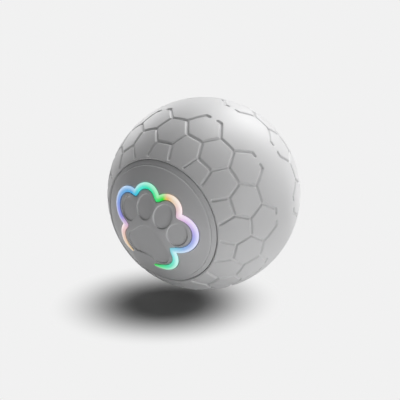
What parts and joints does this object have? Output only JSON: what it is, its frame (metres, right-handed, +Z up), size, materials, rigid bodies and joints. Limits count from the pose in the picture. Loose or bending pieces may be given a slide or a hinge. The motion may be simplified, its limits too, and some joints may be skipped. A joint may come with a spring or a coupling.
{
  "type": "interactive pet ball",
  "caption": "Self-rolling pet toy ball: honeycomb-grooved soft sleeve on a hard shell, domed end caps with a lit paw outline, and a bottom-heavy motor core that turns the shell on its axle.",
  "frame": {"origin": "the centre of the ball, on the drive axle halfway between the caps", "axes": "+Y along the drive axle towards the cap that covers the charging socket, -Y towards the pictured cap, +Z up"},
  "size_m": [0.076, 0.0746, 0.076],
  "materials": {
    "sleeve_silicone": "matte soft-touch silicone",
    "shell_plastic": "moulded satin plastic",
    "cap_plastic": "moulded satin plastic",
    "light_guide": "milky light-guiding plastic",
    "seal_rubber": "matte rubber",
    "bush_plastic": "natural bearing plastic",
    "gear_plastic": "natural gear plastic",
    "screw_steel": "plated steel",
    "chassis_plastic": "moulded grained plastic",
    "motor_steel": "plated steel",
    "cell_wrap": "foil wrap",
    "pad_foam": "closed foam",
    "weight_iron": "cast and tumbled",
    "board_laminate": "coated circuit board",
    "chip_resin": "moulded resin",
    "led_lens": "clear lens"
  },
  "bodies": {
    "core": {"chassis_frame": "chassis_plastic", "front_plate": "chassis_plastic", "front_plate_screws": "screw_steel", "gear_motor": "motor_steel", "motor_screws": "screw_steel", "battery": "cell_wrap", "battery_pad": "pad_foam", "counterweight": "weight_iron", "counterweight_screws": "screw_steel", "main_board": "board_laminate", "board_screws": "screw_steel", "control_chip": "chip_resin", "motion_sensor": "chip_resin", "lead_sockets": "bush_plastic", "front_led_board": "board_laminate", "front_leds": "led_lens", "mode_switch": "chip_resin", "rear_led_board": "board_laminate", "rear_leds": "led_lens", "usb_socket": "motor_steel", "port_cover": "shell_plastic"},
    "shell": {"outer_sleeve": "sleeve_silicone", "front_shell": "shell_plastic", "rear_shell": "shell_plastic", "equator_seal": "seal_rubber", "front_bezel": "cap_plastic", "front_bush": "bush_plastic", "rear_bush": "bush_plastic", "ring_gear": "gear_plastic", "ring_gear_screws": "screw_steel"},
    "press_cap": {"front_cap": "cap_plastic", "front_light_strip": "light_guide", "front_light_plate": "light_guide"},
    "door_ring": {"door_seal": "seal_rubber"},
    "door": {"rear_bezel": "cap_plastic", "rear_cap": "cap_plastic", "rear_light_strip": "light_guide", "rear_light_plate": "light_guide"},
    "pinion": {"motor_shaft": "motor_steel", "motor_pinion": "gear_plastic"},
    "switch_stem": {"switch_button": "chip_resin"}
  },
  "joints": [
    {"name": "shell_spin", "type": "hinge", "parent": "core", "child": "shell", "pos_m": [0, 0, 0], "axis": [0, 1, 0], "continuous": true},
    {"name": "pinion_spin", "type": "hinge", "parent": "core", "child": "pinion", "pos_m": [0, 0, -0.01649], "axis": [0, 1, 0], "continuous": true},
    {"name": "cap_press", "type": "slide", "parent": "shell", "child": "press_cap", "axis": [0, 1, 0], "range_m": [0, 0.0005], "stiffness_N_per_m": 2000, "springref_m": -0.0005},
    {"name": "switch_press", "type": "slide", "parent": "core", "child": "switch_stem", "axis": [0, 1, 0], "range_m": [0, 0.0005]},
    {"name": "door_turn", "type": "hinge", "parent": "door_ring", "child": "door", "pos_m": [0, 0, 0], "axis": [0, 1, 0], "range_deg": [0, 540]},
    {"name": "door_lift", "type": "slide", "parent": "shell", "child": "door_ring", "axis": [0, 1, 0], "range_m": [0, 0.0031]}
  ],
  "couplings": [
    {"joint": "pinion_spin", "follows": "shell_spin", "ratio": 6},
    {"joint": "switch_press", "follows": "cap_press", "ratio": 1},
    {"joint": "door_lift", "follows": "door_turn", "m_per_rad": 0.00031831}
  ]
}
